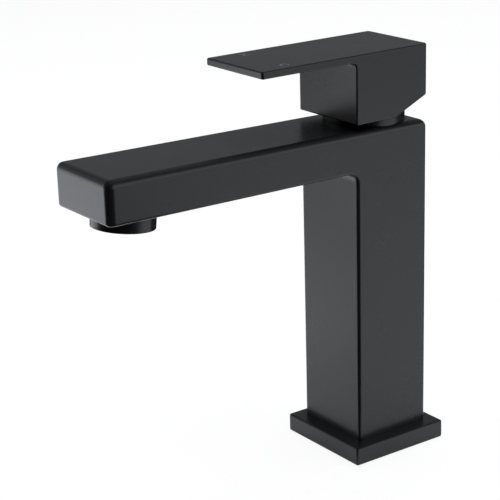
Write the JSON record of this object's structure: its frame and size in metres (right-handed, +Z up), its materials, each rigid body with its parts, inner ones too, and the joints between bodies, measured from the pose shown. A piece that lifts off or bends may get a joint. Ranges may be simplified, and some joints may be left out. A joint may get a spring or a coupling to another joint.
{
  "type": "basin mixer faucet",
  "caption": "Square single-lever basin mixer with a straight spout that rises slightly, a flat lever over a round collar, a ceramic-disc cartridge and an aerator.",
  "frame": {"origin": "middle of the foot, on the surface that the mixer stands on", "axes": "+Z up; the spout and the lever point towards -Y, where the user stands; +X is the user's right (cold side)"},
  "size_m": [0.0518, 0.1725, 0.189],
  "materials": {
    "coated_brass": "satin black coating",
    "coated_zinc": "satin black coating",
    "black_plastic": "moulded black plastic",
    "raw_brass": "turned brass",
    "steel": "turned stainless steel",
    "seal_rubber": "moulded rubber",
    "white_plastic": "moulded acetal",
    "grey_plastic": "moulded plastic",
    "red_plastic": "moulded plastic",
    "ceramic": "lapped alumina"
  },
  "bodies": {
    "body": {"body_casting": "coated_brass", "base_plate": "coated_brass", "collar": "coated_brass", "aerator_housing": "coated_brass", "base_gasket": "seal_rubber", "foot_o_ring": "seal_rubber", "cartridge_nut": "raw_brass", "nut_o_ring": "seal_rubber", "cartridge_housing": "white_plastic", "housing_o_ring": "seal_rubber", "temperature_stop": "red_plastic", "cartridge_base": "white_plastic", "port_seals": "seal_rubber", "disc_seal": "seal_rubber", "fixed_disc": "ceramic", "aerator_washer": "seal_rubber", "aerator_grille": "white_plastic", "aerator_insert": "white_plastic", "aerator_filter": "steel"},
    "turret": {"turret": "grey_plastic", "stem_pin": "steel"},
    "lever": {"handle": "coated_zinc", "cartridge_stem": "raw_brass", "set_screw": "steel", "set_screw_plug": "black_plastic"},
    "disc_slide": {"disc_carrier": "grey_plastic", "moving_disc": "ceramic"}
  },
  "joints": [
    {"name": "temperature", "type": "hinge", "parent": "body", "child": "turret", "pos_m": [0, 0, 0.157], "axis": [0, 0, 1], "range_deg": [-45, 45]},
    {"name": "lift", "type": "hinge", "parent": "turret", "child": "lever", "pos_m": [0, 0, 0.157], "axis": [-1, 0, 0], "range_deg": [0, 25]},
    {"name": "disc_travel", "type": "slide", "parent": "turret", "child": "disc_slide", "axis": [0, -1, 0], "range_m": [0, 0.0039]}
  ],
  "couplings": [
    {"joint": "disc_travel", "follows": "lift", "m_per_rad": 0.008717}
  ]
}
